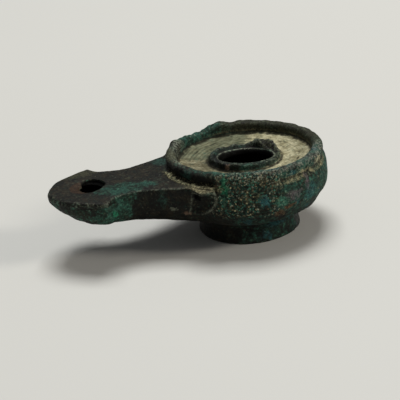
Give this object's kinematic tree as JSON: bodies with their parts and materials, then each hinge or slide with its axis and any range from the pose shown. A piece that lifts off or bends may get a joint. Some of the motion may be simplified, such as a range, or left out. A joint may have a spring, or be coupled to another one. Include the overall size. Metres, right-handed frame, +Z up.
{
  "type": "roman oil lamp",
  "caption": "Hollow bronze oil lamp: round bowl on a ring foot, sunk disc with a collared filling hole, long nozzle with a leaf-shaped tip and wick hole.",
  "frame": {"origin": "under the middle of the lamp's overall box, on the surface it stands on; the bowl's axis is 22.4 mm from it along +X", "axes": "+Z up, the nozzle points along -X, and +Y is the side of the worn lug"},
  "size_m": [0.1075, 0.0622, 0.0325],
  "materials": {
    "bronze": "cast bronze with a dark green-brown patina, crusted and dusty with pale earth"
  },
  "bodies": {
    "root": {"lamp": "bronze"}
  },
  "joints": []
}
